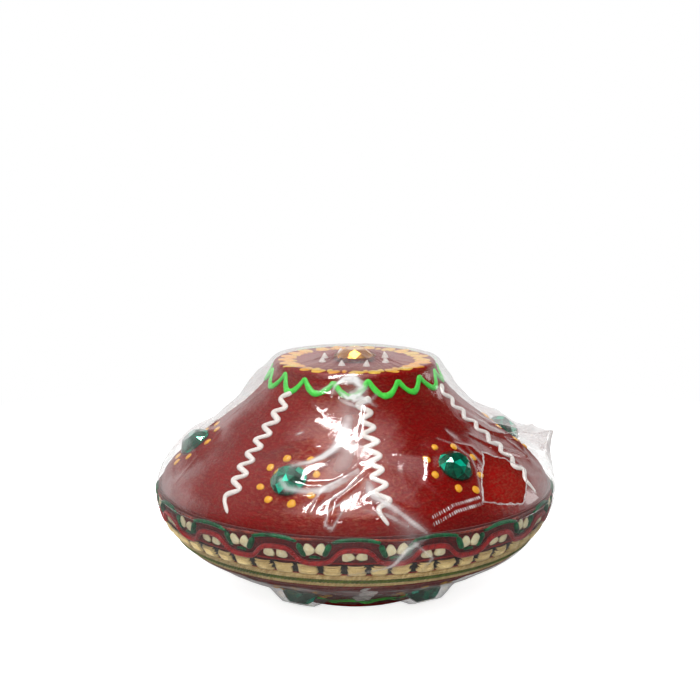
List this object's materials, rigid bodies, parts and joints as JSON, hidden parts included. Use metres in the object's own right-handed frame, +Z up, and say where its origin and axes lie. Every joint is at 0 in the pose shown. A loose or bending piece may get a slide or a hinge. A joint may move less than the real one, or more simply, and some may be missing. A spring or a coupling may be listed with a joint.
{
  "type": "diya oil lamp",
  "caption": "Decorated clay diya lamp: two turned bowls closed mouth to mouth, gems, raised paint lines, lace belt over the seam, wick inside and clear shrink film around.",
  "frame": {"origin": "centre of the flat underside of the lower bowl's foot", "axes": "+Z up along the axis that both bowls were turned on; the decorated front faces -Y and +X is to the right of someone looking at it"},
  "size_m": [0.12, 0.12, 0.0719],
  "materials": {
    "red_painted_clay": "brushed satin paint on fired clay",
    "lime_paint": "raised acrylic line",
    "white_paint": "raised acrylic line",
    "yellow_paint": "acrylic dot",
    "petal_paint": "brushed acrylic petals",
    "green_acrylic": "faceted clear acrylic, foil backed",
    "orange_acrylic": "faceted clear acrylic",
    "copper_foil": "pressed foil",
    "red_ribbon": "woven ribbon",
    "maroon_thread": "twisted thread",
    "red_thread": "twisted satin thread",
    "green_thread": "satin thread",
    "olive_thread": "twisted thread",
    "gold_thread": "metallic thread",
    "black_thread": "cotton thread",
    "cream_sequin": "pearly sequin",
    "cotton": "loose cotton fibre",
    "clear_film": "clear crinkled shrink film"
  },
  "bodies": {
    "base": {"lower_bowl": "red_painted_clay", "lower_green_scallops": "lime_paint", "lower_white_zigzags": "white_paint", "lower_green_gems": "green_acrylic", "lower_yellow_dots": "yellow_paint", "lace_tape": "red_ribbon", "lace_top_cord": "maroon_thread", "lace_green_arcs": "green_thread", "lace_red_wave_cord": "red_thread", "lace_cream_petals": "cream_sequin", "lace_green_leaves": "green_thread", "lace_gold_blocks": "gold_thread", "lace_black_bars": "black_thread", "lace_upper_gold_cord": "gold_thread", "lace_olive_cord": "olive_thread", "lace_lower_gold_cord": "gold_thread", "lace_red_edge_cord": "maroon_thread", "wrap_film_lower": "clear_film"},
    "wick": {"cotton_wick": "cotton"},
    "cover": {"upper_bowl": "red_painted_clay", "upper_green_scallops": "lime_paint", "upper_white_zigzags": "white_paint", "upper_green_gems": "green_acrylic", "upper_yellow_dots": "yellow_paint", "top_petal_border": "petal_paint", "top_white_peaks": "white_paint", "top_foil_cup": "copper_foil", "top_orange_gem": "orange_acrylic"},
    "film_cap": {"wrap_film_upper": "clear_film"}
  },
  "joints": [
    {"name": "cover_lift", "type": "slide", "parent": "base", "child": "cover", "axis": [0, 0, 1], "range_m": [0, 0.09]},
    {"name": "film_peel", "type": "slide", "parent": "cover", "child": "film_cap", "axis": [0, 0, 1], "range_m": [0, 0.06]},
    {"name": "wick_draw", "type": "slide", "parent": "base", "child": "wick", "axis": [0, 0, 1], "range_m": [0, 0.02]}
  ]
}
